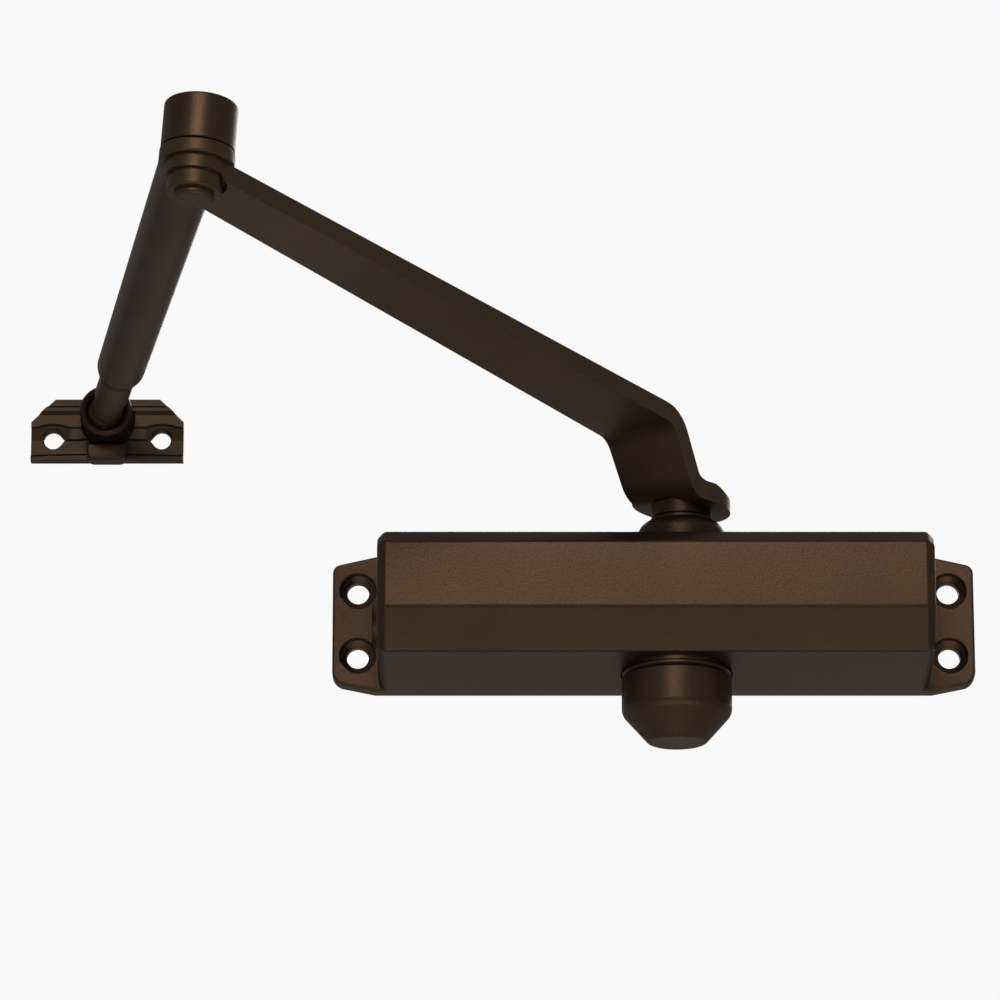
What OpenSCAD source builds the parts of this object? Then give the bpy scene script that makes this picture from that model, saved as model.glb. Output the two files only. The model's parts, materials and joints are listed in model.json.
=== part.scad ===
// Surface-mounted hydraulic door closer with a regular double-lever arm.
// Origin: centre of the four lug holes, on the back face that lies on the door.
// +X runs along the body, +Y into the door, +Z up. Depths are distances in front of the door.

/* [Mounting] */
// Lug hole spacing along the body
hole_span_x = 168; // [160:1:176]
// Lug hole spacing across the body
hole_span_z = 19; // [17:0.5:21]
// Lug hole diameter
hole_d = 6.3; // [5:0.1:6.6]
// Screw head counterbore diameter
counterbore_d = 10.2; // [9:0.1:10.6]
// Depth of the counterbores
counterbore_depth = 1.7; // [1:0.1:2]

/* [Body] */
// Length over the two lugs
lug_l = 182.4; // [180:0.2:190]
// Thickness of the lugs
lug_t = 5.5; // [4.5:0.1:7]
// Length of the faceted block
block_l = 156; // [155.5:0.5:157]
// Height of the block
block_h = 38.7; // [38:0.1:40]
// Depth of the block in front of the door
block_d = 38.5; // [38:0.1:40]
// Bottom edge of the block below the hole centre
block_drop = 19.8; // [19.5:0.1:20]
// Chamfer on the block's ends
end_chamfer = 2; // [1:0.1:3]

/* [Hydraulics] */
// Piston bore radius
bore_r = 12.5; // [12:0.1:12.7]
// Height of the piston axis
bore_z = -0.5; // [-0.8:0.1:0]
// Length of the piston
piston_l = 76; // [74:1:76]
// Largest turn of the pinion in degrees
pinion_turn = 170; // [120:5:170]
// Coils in the main spring
spring_coils = 8; // [7:0.5:8]

/* [Pinion and cap] */
// Pinion axis to the right of the hole centre
pin_x = 7.7; // [7:0.1:8.4]
// Pinion axis in front of the door
pin_d = 17.5; // [17:0.1:18]
// Radius of the cap under the body
cap_r = 15.3; // [15:0.1:15.6]
// Length of the cap's straight side
cap_side = 10.6; // [9:0.1:12]
// Length of the cap's cone
cap_cone = 8.4; // [7.5:0.1:9]

/* [Arms] */
// Reach of the main arm, pinion axis to elbow, seen from above
arm_reach = 211.4; // [200:0.1:220]
// Direction of the main arm, degrees from +X seen from above
arm_turn = 232.16; // [225:0.01:240]
// Upward slope of the main arm
arm_slope = 5.74; // [4:0.01:7]
// Bar thickness
bar_t = 5.3; // [5:0.1:5.6]
// Bar width at the pinion
bar_w_pinion = 24.4; // [24:0.1:26]
// Bar width at the elbow
bar_w_elbow = 15.8; // [14:0.1:16.4]
// Underside of the pinion eye
eye_z = 30.3; // [30:0.1:32]
// Underside of the straight bar, carried back to the pinion axis
bar_z = 46.8; // [46:0.1:48]
// Height of the forearm axis above the main arm at the elbow
forearm_lift = 8.6; // [8.6:0.1:9.4]
// Pull-out of the forearm rod
rod_travel = 30; // [20:5:30]

/* [Foot] */
// Foot pivot from the hole centre along X
foot_x = -156.5; // [-160:0.5:-150]
// Foot pivot in front of the door frame
foot_d = 10.5; // [10:0.1:11]
// Foot pivot height
foot_z = 61.1; // [58:0.1:64]
// Width of the foot plate
foot_w = 43.8; // [42:0.2:46]
// Height of the foot plate
foot_h = 18.4; // [18:0.1:20]
// Screw hole spacing in the foot
foot_hole_span = 30.8; // [30:0.1:32]
// Screw hole diameter in the foot
foot_hole_d = 5.2; // [4.5:0.1:5.4]

/* [Hidden] */
$fn = 64;

paint = "#3b2e24";
steel = "#9a9a96";
rubber = "#1c1c1c";
brass = "#b08d57";
gap = 0.05;   // radial play of a running or assembly fit
far = 400;    // longer than anything it cuts

// Needle valves, their distance from the door and height
sweep_valve_at = [33, 12.6];
latch_valve_at = [31.1, -12.4];

// Body section: height of each edge of the front, from the bottom flange up
block_bottom = -block_drop;
block_top = block_h - block_drop;
flange_d = 7;
shelf_d = 34;
shelf_z = block_bottom + 4.1;
skirt_z = block_bottom + 15.9;
brow = 4;

// Lower boss, gasket and cap, downwards from the face under the pinion
boss_z = block_bottom + 2.5;
boss_r = cap_r - 0.7;
gasket_r = cap_r + 0.1;
gasket_t = 1.75;
cap_top = boss_z - gasket_t;
cap_end_r = 8.1;
cap_end_z = cap_top - cap_side - cap_cone;

// Gland nuts: a threaded part in the casting, then a domed flange outside it
gland_r = 11;
gland_flange_r = 12.3;
gland_neck_r = 8.8;
gland_top = block_top + 8;
gland_bottom = boss_z - 7.5;
bush_r = 8;

// Rack and pinion
journal_r = 6;
tooth_m = 1;
pinion_teeth = 13;
pitch_r = tooth_m * pinion_teeth / 2;
gear_addendum = 0.9 * tooth_m;
rack_addendum = 0.7 * tooth_m;
dedendum = 1.2 * tooth_m;
backlash = 0.3;
pressure_angle = 20;
base_r = pitch_r * cos(pressure_angle);
gear_h = 14;
rack_h = gear_h - 0.6;     // stays between the pinion's journals
rack_pitch = PI * tooth_m;
stroke = pitch_r * pinion_turn * PI / 180;

// Piston layout along X at rest, with its window around the pinion
piston_right = 62;
piston_left = piston_right - piston_l;
window_left = pin_x - pitch_r - 2.2;
window_right = pin_x + pitch_r + stroke + 2;
window_back = pin_d - pitch_r - 1.9;
rack_root_d = pin_d + pitch_r + dedendum;
piston_play = 0.08;

// End plugs
plug_l = 12;
plug_thread_r = 13.3;
plug_nose = 4;
ring_wire = 0.95;

// Joggle of the main arm
joggle_turn = 63;
eye_r = 13.6;
bend_start = 4.6;
lower_bend_r = 3 + bar_t;
upper_bend_r = 6;
square_af = 9.4;
elbow_eye_r = 8.3;
elbow_z = bar_z + arm_reach * tan(arm_slope);

// Elbow stack, measured up from the underside of the main arm's eye
eye_step = 1.7;         // the eye is faced off below, so that the nut sits up in it
thread_end = -3.3;
ring_z = bar_t + 0.15;
ring_t = 3.7;
ring_r = 9.85;
hub_r = 9.75;
hub_z = ring_z + ring_t + 0.15;
hub_top = bar_t + 17;
elbow_pin_r = 3.5;
shoulder_z = hub_z + 5.2;
pin_head_t = 2.6;
plug_seat_z = hub_top - 1.6;

// Forearm: a tapered sleeve from the elbow, then the rod into the foot's cup
sleeve_root_r = 8.1;
sleeve_end_r = 6.75;
sleeve_tip_r = 5.6;
sleeve_shoulder = 5;
rod_r = 4.9;
rod_neck_r = 4.3;
ball_r = 5.1;
foot_pin_r = 2;
sleeve_stop = 27;      // sleeve end back from the foot pivot
rod_inside = 90;       // rod length hidden in the sleeve

// Places in space
pinion_at = [pin_x, -pin_d, 0];
elbow_at = pinion_at + [arm_reach * cos(arm_turn), arm_reach * sin(arm_turn), elbow_z];
elbow_axis = [-sin(arm_slope) * cos(arm_turn), -sin(arm_slope) * sin(arm_turn), cos(arm_slope)];
forearm_at = elbow_at + (bar_t + forearm_lift) * elbow_axis;
foot_at = [foot_x, -foot_d, foot_z];
forearm_v = foot_at - forearm_at;
forearm_l = norm(forearm_v);
forearm_turn = atan2(forearm_v[1], forearm_v[0]);
forearm_dip = asin(-forearm_v[2] / forearm_l);
foot_bottom = foot_z - 12;
socket_r = ball_r + 0.3;
socket_outer_r = 7.3;
foot_rib_w = 10.9;
foot_rib_d = 6.1;
foot_rib_drop = 0.5;
foot_pin_low = -6.4;       // lower end of the pin, in the wall of the socket

// ---- helpers ----

// points along an arc, from angle a0 to a1
function arc(centre, r, a0, a1, steps = 8) =
    [for (i = [0 : steps]) let (a = a0 + (a1 - a0) * i / steps) centre + r * [cos(a), sin(a)]];

// involute angle in degrees at pressure angle a
function involute(a) = tan(a) * 180 / PI - a;

module along_x(x, d = pin_d, z = bore_z) translate([x, -d, z]) rotate([0, 90, 0]) children();

module at_pinion() translate(pinion_at) children();

module on_arm() at_pinion() rotate([0, 0, arm_turn]) children();

module at_elbow() on_arm() translate([arm_reach, 0, elbow_z]) rotate([0, -arm_slope, 0]) children();

// forearm axis along +X, starting on the elbow axis
module on_forearm() translate(forearm_at) rotate([0, forearm_dip, forearm_turn]) children();

module at_foot() translate(foot_at) children();

module tube(outer_r, inner_r, h) {
    difference() {
        cylinder(r = outer_r, h = h);
        translate([0, 0, -1]) cylinder(r = inner_r, h = h + 2);
    }
}

module oring(centre_r, wire_r) rotate_extrude() translate([centre_r, 0]) circle(r = wire_r, $fn = 24);

module hex_prism(across_flats, h) cylinder(d = across_flats / cos(30), h = h, $fn = 6);

// ---- body ----

module block_section() {
    rotate([90, 0, 90]) linear_extrude(height = block_l, center = true) polygon([
        [0, block_bottom], [-flange_d, block_bottom], [-shelf_d, shelf_z], [-block_d, skirt_z],
        [-block_d, block_top - brow], [-block_d + brow, block_top], [0, block_top]
    ]);
}

module block() {
    half = block_l / 2;
    c = end_chamfer;
    intersection() {
        block_section();
        translate([0, 0, -far / 2]) linear_extrude(height = far) polygon([
            [-half, 0], [half, 0], [half, c - block_d], [half - c, -block_d],
            [c - half, -block_d], [-half, c - block_d]
        ]);
        rotate([90, 0, 0]) linear_extrude(height = far) polygon([
            [-half, block_bottom], [half, block_bottom], [half, block_top - 4], [half - 2.2, block_top],
            [2.2 - half, block_top], [-half, block_top - 4]
        ]);
    }
}

// one lug plate, seen from the front, with rounded outer corners
module lug_plate() {
    root = block_l / 2 - 6;
    tip = lug_l / 2;
    top = block_top + 1.1;
    rotate([90, 0, 0]) linear_extrude(height = lug_t) polygon(concat(
        [[root, block_bottom], [block_l / 2 + 1, block_bottom]],
        arc([tip - 4.2, block_bottom + 5.9], 4.2, -70, 0),
        arc([tip - 2.6, top - 5.1], 2.6, 0, 74),
        [[block_l / 2 + 1, top], [root, top]]
    ));
}

module lug_holes() {
    for (x = [-1, 1], z = [-1, 1])
        translate([x * hole_span_x / 2, 1, z * hole_span_z / 2]) rotate([90, 0, 0]) {
            cylinder(d = hole_d, h = lug_t + 2);
            translate([0, 0, lug_t - counterbore_depth + 1]) cylinder(d = counterbore_d, h = 12);
        }
}

module at_valve(place) along_x(block_l / 2, place[0], place[1]) children();

module valve_bores() {
    for (place = [sweep_valve_at, latch_valve_at]) at_valve(place) {
        translate([0, 0, -22]) cylinder(r = 1.2, h = 10);
        translate([0, 0, -17]) cylinder(r = 2.3, h = 20);
    }
}

module body_casting() color(paint) difference() {
    union() {
        block();
        lug_plate();
        mirror([1, 0, 0]) lug_plate();
        intersection() {
            at_pinion() translate([0, 0, boss_z]) cylinder(r = boss_r, h = 12);
            translate([-far / 2, -far, -far / 2]) cube([far, far, far]);
        }
    }
    // piston bore and the threads of both end plugs
    along_x(-far / 2) cylinder(r = bore_r, h = far);
    for (side = [0, 1]) mirror([side, 0, 0]) along_x(block_l / 2 - plug_l + plug_nose)
        cylinder(r = plug_thread_r + gap, h = plug_l);
    at_pinion() {
        // threads of both gland nuts
        translate([0, 0, block_bottom - 1]) cylinder(r = gland_r + gap, h = block_h + 10);
        // flat seat under the pinion
        translate([0, 0, block_bottom - 5]) cylinder(r = gasket_r + 0.4, h = boss_z - block_bottom + 5);
    }
    valve_bores();
    lug_holes();
}

module end_plug() color(steel) difference() {
    union() {
        translate([0, 0, -plug_l + plug_nose]) cylinder(r = plug_thread_r, h = plug_l - plug_nose);
        translate([0, 0, -plug_l]) cylinder(r = bore_r - gap, h = plug_nose);
    }
    translate([0, 0, -5]) hex_prism(10, 6);
    translate([0, 0, -plug_l + 1]) tube(bore_r + 1, bore_r - 2 * ring_wire - 0.15, 2.1);
}

module right_end_plug() along_x(block_l / 2) end_plug();
module left_end_plug() mirror([1, 0, 0]) along_x(block_l / 2) end_plug();

module plug_oring() color(rubber) translate([0, 0, -plug_l + 2.05]) oring(bore_r - ring_wire - 0.05, ring_wire);

module right_plug_oring() along_x(block_l / 2) plug_oring();
module left_plug_oring() mirror([1, 0, 0]) along_x(block_l / 2) plug_oring();

// needle valve screw, its head at the end face of the block
module valve_screw() color(brass) difference() {
    union() {
        translate([0, 0, -6]) cylinder(r = 2.25, h = 5.4);
        translate([0, 0, -12]) cylinder(r = 1.3, h = 6);
        translate([0, 0, -16]) cylinder(r1 = 0.6, r2 = 2.25, h = 2);
        translate([0, 0, -14]) cylinder(r = 2.25, h = 2);
    }
    translate([-3, -0.4, -1.6]) cube([6, 0.8, 2]);
}

module valve_oring() color(rubber) translate([0, 0, -9]) tube(2.2, 1.35, 1.6);

module sweep_valve_screw() at_valve(sweep_valve_at) valve_screw();
module latch_valve_screw() at_valve(latch_valve_at) valve_screw();
module sweep_valve_oring() at_valve(sweep_valve_at) valve_oring();
module latch_valve_oring() at_valve(latch_valve_at) valve_oring();

// ---- glands, bearings, cap ----

// profile from the thread outwards; z grows away from the casting
module gland(thread_l, flange_l, total) color(paint) rotate_extrude() polygon([
    [bush_r, 0], [gland_r, 0], [gland_r, thread_l], [gland_flange_r, thread_l],
    [gland_flange_r, thread_l + flange_l], [gland_flange_r - 1, thread_l + flange_l + 1.1],
    [gland_neck_r, total], [journal_r + 0.3, total], [journal_r + 0.3, total - 1.6], [bush_r, total - 1.6]
]);

top_seat = bore_z + bore_r + 0.6;
bottom_seat = bore_z - bore_r - 0.6;

module top_gland_nut() at_pinion() translate([0, 0, top_seat])
    gland(block_top - top_seat, 4.6, gland_top - top_seat);

module bottom_gland_nut() at_pinion() translate([0, 0, bottom_seat]) mirror([0, 0, 1])
    gland(bottom_seat - boss_z, 4.6, bottom_seat - gland_bottom);

module bush(h) color(brass) tube(bush_r - 0.02, journal_r + gap, h);

module top_bearing_bush() at_pinion() translate([0, 0, top_seat + 0.2]) bush(8);
module bottom_bearing_bush() at_pinion() translate([0, 0, bottom_seat - 6.7]) bush(6.5);

// lip seal: a ring with a V groove in its pressure face
module lip_seal(h) color(rubber) rotate_extrude() polygon([
    [journal_r + gap, 0], [journal_r + 0.7, 0], [journal_r + 0.95, 0.9], [journal_r + 1.2, 0],
    [bush_r - 0.02, 0], [bush_r - 0.02, h], [journal_r + gap, h]
]);

module top_shaft_seal() at_pinion() translate([0, 0, gland_top - 4.4]) lip_seal(2.6);
module bottom_shaft_seal() at_pinion() translate([0, 0, gland_bottom + 3.9]) mirror([0, 0, 1]) lip_seal(2.2);

module cap_gasket_ring() color(rubber) at_pinion() translate([0, 0, cap_top])
    tube(gasket_r, gland_flange_r + 0.3, gasket_t);

// hollow cap that snaps over the lower gland nut and hides the unused pinion end
module pinion_cap() color(paint) at_pinion() translate([0, 0, cap_top]) rotate_extrude() polygon([
    [gland_flange_r + gap, 0], [cap_r - 0.5, 0], [cap_r, -0.5], [cap_r, -cap_side],
    [cap_end_r, -cap_side - cap_cone], [0, -cap_side - cap_cone], [0, -cap_side - cap_cone + 2.2],
    [cap_end_r - 1.6, -cap_side - cap_cone + 2.2], [cap_r - 2.2, -cap_side + 0.5],
    [cap_r - 2.2, -3.4], [gland_flange_r + gap, -2.8]
]);

// ---- pinion ----

function tooth_edge(r) = 90 / pinion_teeth - (backlash / 4) / pitch_r * 180 / PI + involute(pressure_angle)
    - (r > base_r ? involute(acos(base_r / r)) : 0);

module gear() {
    root = pitch_r - dedendum;
    tip = pitch_r + gear_addendum;
    radii = [for (i = [0 : 4]) base_r + (tip - base_r) * i / 4];
    linear_extrude(height = gear_h) union() {
        circle(r = root);
        for (k = [0 : pinion_teeth - 1]) rotate(-90 + k * 360 / pinion_teeth) polygon(concat(
            [[0, 0]],
            [for (r = radii) r * [cos(tooth_edge(r)), -sin(tooth_edge(r))]],
            [for (i = [4 : -1 : 0]) radii[i] * [cos(tooth_edge(radii[i])), sin(tooth_edge(radii[i]))]]
        ));
    }
}

module square_end(h) intersection() {
    cylinder(r = journal_r, h = h);
    translate([-square_af / 2, -square_af / 2, 0]) cube([square_af, square_af, h]);
}

module pinion_shaft() color(steel) at_pinion() difference() {
    union() {
        translate([0, 0, gland_bottom]) cylinder(r = journal_r, h = bore_z - gear_h / 2 - gland_bottom);
        translate([0, 0, bore_z - gear_h / 2]) gear();
        translate([0, 0, bore_z + gear_h / 2]) cylinder(r = journal_r, h = eye_z - bore_z - gear_h / 2);
        translate([0, 0, gland_bottom - 7]) square_end(7);
        translate([0, 0, eye_z]) rotate([0, 0, arm_turn]) square_end(bar_t - 0.5);
    }
    translate([0, 0, eye_z - 12]) cylinder(r = 3, h = 20);
}

module arm_spacer() color(paint) at_pinion() translate([0, 0, gland_top + 0.3])
    tube(8.4, journal_r + gap, eye_z - gland_top - 0.3);

// ---- main arm ----

bend_low = [bend_start, eye_z + lower_bend_r];
web_l = (bar_z - eye_z - lower_bend_r * (1 - cos(joggle_turn))
    - upper_bend_r * (cos(arm_slope) - cos(joggle_turn))
    + tan(arm_slope) * (bend_start + lower_bend_r * sin(joggle_turn)
    + upper_bend_r * (sin(joggle_turn) - sin(arm_slope))))
    / (sin(joggle_turn) - tan(arm_slope) * cos(joggle_turn));
bend_high = bend_low + lower_bend_r * [sin(joggle_turn), -cos(joggle_turn)]
    + web_l * [cos(joggle_turn), sin(joggle_turn)]
    + upper_bend_r * [sin(joggle_turn), -cos(joggle_turn)];

// side view of the bar: flat eye, two bends, long straight
module bar_side() polygon(concat(
    [[-eye_r - 1, eye_z]],
    arc(bend_low, lower_bend_r, -90, joggle_turn - 90),
    arc(bend_high, upper_bend_r, joggle_turn + 90, arm_slope + 90),
    [[arm_reach, elbow_z],
     [arm_reach - bar_t * sin(arm_slope), elbow_z + bar_t * cos(arm_slope)]],
    arc(bend_high, upper_bend_r + bar_t, arm_slope + 90, joggle_turn + 90),
    arc(bend_low, lower_bend_r - bar_t, joggle_turn - 90, -90),
    [[-eye_r - 1, eye_z + bar_t]]
));

module main_arm() color(paint) difference() {
    union() {
        on_arm() intersection() {
            rotate([90, 0, 0]) linear_extrude(height = 40, center = true) bar_side();
            translate([0, 0, eye_z - 5]) linear_extrude(height = 80) {
                circle(r = eye_r);
                polygon([[0, -bar_w_pinion / 2], [arm_reach, -bar_w_elbow / 2],
                    [arm_reach, bar_w_elbow / 2], [0, bar_w_pinion / 2]]);
            }
        }
        at_elbow() cylinder(r = elbow_eye_r, h = bar_t);
    }
    on_arm() {
        // square drive hole, and a flat seat for the screw head
        translate([0, 0, eye_z - 1]) intersection() {
            cylinder(r = journal_r + gap, h = bar_t + 10);
            translate([-square_af / 2 - gap, -square_af / 2 - gap, 0])
                cube([square_af + 2 * gap, square_af + 2 * gap, bar_t + 10]);
        }
        translate([0, 0, eye_z + bar_t]) cylinder(r = 5.8, h = 20);
    }
    at_elbow() translate([0, 0, -1]) {
        cylinder(r = elbow_pin_r, h = bar_t + 2);
        cylinder(r = elbow_eye_r + 0.1, h = 1 + eye_step);
    }
}

module arm_washer() color(steel) at_pinion() translate([0, 0, eye_z + bar_t]) tube(5.5, 3.2, 1);

module arm_screw() color(steel) at_pinion() translate([0, 0, eye_z + bar_t + 1]) difference() {
    union() {
        cylinder(r = 4.9, h = 5.2);
        translate([0, 0, -14]) cylinder(r = 2.95, h = 14);
    }
    translate([0, 0, 2.4]) hex_prism(5, 4);
}

// ---- elbow ----

module elbow_thrust_ring() color(paint) at_elbow() translate([0, 0, ring_z - 0.15]) rotate_extrude() polygon([
    [elbow_pin_r + gap, 0], [ring_r - 0.4, 0], [ring_r, 0.5], [ring_r, ring_t - 0.1],
    [ring_r - 0.5, ring_t + 0.15], [elbow_pin_r + gap, ring_t + 0.15]
]);

module elbow_pivot_pin() color(steel) at_elbow() {
    translate([0, 0, thread_end]) cylinder(r = 3, h = eye_step - thread_end + 0.1);
    translate([0, 0, eye_step]) cylinder(r = elbow_pin_r, h = shoulder_z - eye_step + 0.2);
    translate([0, 0, shoulder_z + 0.1]) cylinder(r = 5.6, h = pin_head_t);
}

// stepped cap nut under the main arm
module elbow_cap_nut() color(paint) at_elbow() difference() {
    rotate_extrude() polygon(concat(
        [[0, eye_step], [7.2, eye_step], [7.2, -2.1], [6.6, -2.7], [5.2, -2.7]],
        arc([4.2, -3.6], 1, 0, -90, 5),
        [[0, -4.6]]
    ));
    translate([0, 0, thread_end - 0.1]) cylinder(r = 3.02, h = 6);
}

module elbow_bush() color(brass) at_elbow() translate([0, 0, hub_z + 0.1])
    tube(5.4, elbow_pin_r + gap, shoulder_z - hub_z - 0.2);

module elbow_top_plug() color(paint) at_elbow() translate([0, 0, plug_seat_z])
    cylinder(r = 7.4, h = hub_top - plug_seat_z - 0.3);

// ---- forearm ----

module forearm_sleeve() color(paint) difference() {
    union() {
        at_elbow() rotate_extrude() polygon(concat(
            [[0, hub_z], [hub_r - 0.3, hub_z], [hub_r, hub_z + 0.3]],
            arc([hub_r - 1.4, hub_top - 1.4], 1.4, 0, 90),
            [[0, hub_top]]
        ));
        on_forearm() rotate([0, 90, 0]) rotate_extrude() polygon([
            [0, 0], [sleeve_root_r, 0], [sleeve_end_r, forearm_l - sleeve_stop - sleeve_shoulder],
            [sleeve_tip_r, forearm_l - sleeve_stop], [0, forearm_l - sleeve_stop]
        ]);
    }
    at_elbow() {
        // room for the main arm and the thrust ring
        translate([0, 0, -20]) cylinder(r = ring_r + 0.35, h = 20 + hub_z);
        translate([0, 0, -20]) cylinder(r = 30, h = 20 + bar_t + 0.3);
        // bush seat, pin head chamber, seat of the top plug
        cylinder(r = 5.42, h = shoulder_z);
        translate([0, 0, shoulder_z - 0.1]) cylinder(r = 6.1, h = plug_seat_z - shoulder_z + 0.2);
        translate([0, 0, plug_seat_z]) cylinder(r = 7.45, h = 5);
    }
    on_forearm() rotate([0, 90, 0]) translate([0, 0, forearm_l - sleeve_stop - rod_inside - 4])
        cylinder(r = rod_r + gap, h = rod_inside + 10);
}

module adjusting_rod() color(paint) difference() {
    on_forearm() rotate([0, 90, 0]) {
        translate([0, 0, forearm_l - sleeve_stop - rod_inside])
            cylinder(r = rod_r, h = rod_inside + sleeve_stop - 13);
        translate([0, 0, forearm_l - 13]) cylinder(r1 = rod_r, r2 = rod_neck_r, h = 5);
        translate([0, 0, forearm_l - 8]) cylinder(r = rod_neck_r, h = 6);
        translate([0, 0, forearm_l]) sphere(r = ball_r);
    }
    at_foot() translate([0, 0, -10]) cylinder(r = foot_pin_r + gap, h = 20);
}

// ---- foot ----

module foot_plate() {
    half = foot_w / 2;
    c = 6.9;
    rotate([90, 0, 0]) linear_extrude(height = 4) polygon([
        [-half, 0], [half, 0], [half, foot_h - c], [half - c, foot_h], [c - half, foot_h], [-half, foot_h - c]
    ]);
}

module foot_bracket() color(paint) difference() {
    union() {
        translate([foot_x, 0, foot_bottom]) foot_plate();
        // socket facing the arm, and the rib under it
        translate([foot_x, 0, foot_z]) rotate([90, 0, 0]) cylinder(r = socket_outer_r, h = foot_d + 2.6);
        translate([foot_x - foot_rib_w / 2, -foot_rib_d, foot_bottom - foot_rib_drop])
            cube([foot_rib_w, foot_rib_d, foot_z - foot_bottom]);
    }
    at_foot() {
        sphere(r = socket_r);
        rotate([90, 0, 0]) cylinder(r = socket_r - 0.1, h = 20);
        // bevelled mouth
        rotate([90, 0, 0]) translate([0, 0, 0.5]) cylinder(r1 = socket_r - 0.25, r2 = socket_r + 0.95, h = 2.2);
        translate([0, 0, foot_pin_low]) cylinder(r = foot_pin_r, h = 20);
    }
    for (s = [-1, 1]) translate([foot_x + s * foot_hole_span / 2, 1, foot_bottom + 6])
        rotate([90, 0, 0]) cylinder(d = foot_hole_d, h = 12);
}

module foot_pivot_pin() color(steel) at_foot() translate([0, 0, foot_pin_low])
    cylinder(r = foot_pin_r, h = socket_outer_r - 0.3 - foot_pin_low);

// ---- piston ----

module rack_tooth() {
    half = rack_pitch / 4 - backlash / 4;
    lean = tan(pressure_angle);
    polygon([
        [-half - dedendum * lean, -dedendum - 0.5], [half + dedendum * lean, -dedendum - 0.5],
        [half + dedendum * lean, -dedendum], [half - rack_addendum * lean, rack_addendum],
        [rack_addendum * lean - half, rack_addendum], [-half - dedendum * lean, -dedendum]
    ]);
}

module piston() color(steel) difference() {
    union() {
        difference() {
            along_x(piston_left) cylinder(r = bore_r - piston_play, h = piston_l);
            translate([window_left, -rack_root_d, -far / 2])
                cube([window_right - window_left, rack_root_d - window_back, far]);
        }
        first = ceil((window_left - pin_x) / rack_pitch - 0.5 + 0.35);
        last = floor((window_right - pin_x) / rack_pitch - 0.5 - 0.35);
        for (k = [first : last])
            translate([pin_x + (k + 0.5) * rack_pitch, -pin_d - pitch_r, bore_z])
                linear_extrude(height = rack_h, center = true) rack_tooth();
    }
    // seal groove, valve pocket, oil way, spring seat
    along_x(piston_right - 6) tube(bore_r + 1, bore_r - 2.1, 2.6);
    along_x(window_right - 1) cylinder(r = 1.5, h = 40);
    along_x(piston_right - 9) cylinder(r = 3.5, h = 10);
    along_x(piston_left - 1) cylinder(r = 9, h = 3);
}

module piston_seal() color(rubber) along_x(piston_right - 4.7) oring(bore_r - 1.1, 0.95);

module check_valve_seat() color(brass) along_x(piston_right - 3.5) tube(3.48, 1.4, 3);

module check_valve_ball() color(steel) along_x(piston_right - 6.4) sphere(r = 2.5);

// round wire swept along a helix between the left plug and the piston
spring_wire = 1.6;
spring_r = 9.6;
spring_start = -block_l / 2 + plug_l + spring_wire + 0.3;
spring_end = piston_left - spring_wire - 0.3;
spring_sides = 6;
spring_steps = 14 * spring_coils;

function spring_ring(i) = let (t = i / spring_steps, a = 360 * spring_coils * t)
    [for (s = [0 : spring_sides - 1]) let (b = 360 * s / spring_sides, q = spring_r + spring_wire * cos(b))
        [spring_start + (spring_end - spring_start) * t + spring_wire * sin(b), q * cos(a), q * sin(a)]];

module main_spring() color(steel) translate([0, -pin_d, bore_z]) polyhedron(
    points = [for (i = [0 : spring_steps]) each spring_ring(i)],
    faces = concat(
        [[for (s = [0 : spring_sides - 1]) s]],
        [for (i = [0 : spring_steps - 1], s = [0 : spring_sides - 1])
            let (a = i * spring_sides + s, b = i * spring_sides + (s + 1) % spring_sides)
            [b, a, a + spring_sides, b + spring_sides]],
        [[for (s = [spring_sides - 1 : -1 : 0]) spring_steps * spring_sides + s]]
    )
);

body_casting();
left_end_plug();
right_end_plug();
left_plug_oring();
right_plug_oring();
sweep_valve_screw();
latch_valve_screw();
sweep_valve_oring();
latch_valve_oring();
top_gland_nut();
bottom_gland_nut();
top_bearing_bush();
bottom_bearing_bush();
top_shaft_seal();
bottom_shaft_seal();
cap_gasket_ring();
pinion_cap();
pinion_shaft();
arm_spacer();
main_arm();
arm_washer();
arm_screw();
elbow_pivot_pin();
elbow_cap_nut();
elbow_thrust_ring();
piston();
piston_seal();
check_valve_seat();
check_valve_ball();
main_spring();
forearm_sleeve();
elbow_bush();
elbow_top_plug();
adjusting_rod();
foot_bracket();
foot_pivot_pin();
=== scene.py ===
# %% [markdown]
# # A surface-mounted door closer
# A door closer is a hydraulic box on the door, a main arm that the box turns, and a forearm that ties the
# arm to the door frame. Nearly everything that shows is a casting, a bent bar or a turned part with a dark
# bronze coat. The moving solids come from the CAD frame. This script gives the ones that show most their
# rounded edges, their small steps and their finish. The rest keep the frame's shape and only get a finish.

# %% The frame
import json
from math import cos, pi, radians, sin, tan

import bmesh
import bpy
from mathutils import Matrix, Vector


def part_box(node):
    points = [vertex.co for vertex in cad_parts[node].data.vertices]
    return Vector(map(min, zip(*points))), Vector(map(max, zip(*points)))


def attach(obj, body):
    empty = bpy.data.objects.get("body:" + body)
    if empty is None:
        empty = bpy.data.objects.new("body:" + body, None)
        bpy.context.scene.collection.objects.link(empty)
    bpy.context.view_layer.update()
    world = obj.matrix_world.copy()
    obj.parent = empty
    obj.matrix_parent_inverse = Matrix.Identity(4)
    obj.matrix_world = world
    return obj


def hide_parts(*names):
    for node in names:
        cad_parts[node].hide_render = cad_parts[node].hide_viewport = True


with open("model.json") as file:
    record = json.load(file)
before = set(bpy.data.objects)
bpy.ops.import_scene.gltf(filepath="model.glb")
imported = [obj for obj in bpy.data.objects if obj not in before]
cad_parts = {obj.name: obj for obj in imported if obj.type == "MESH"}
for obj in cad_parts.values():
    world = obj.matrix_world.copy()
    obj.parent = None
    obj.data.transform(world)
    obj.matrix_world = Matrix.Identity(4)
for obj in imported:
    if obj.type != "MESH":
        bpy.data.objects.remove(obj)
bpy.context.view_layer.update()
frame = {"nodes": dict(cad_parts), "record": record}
MM = 0.001

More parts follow.
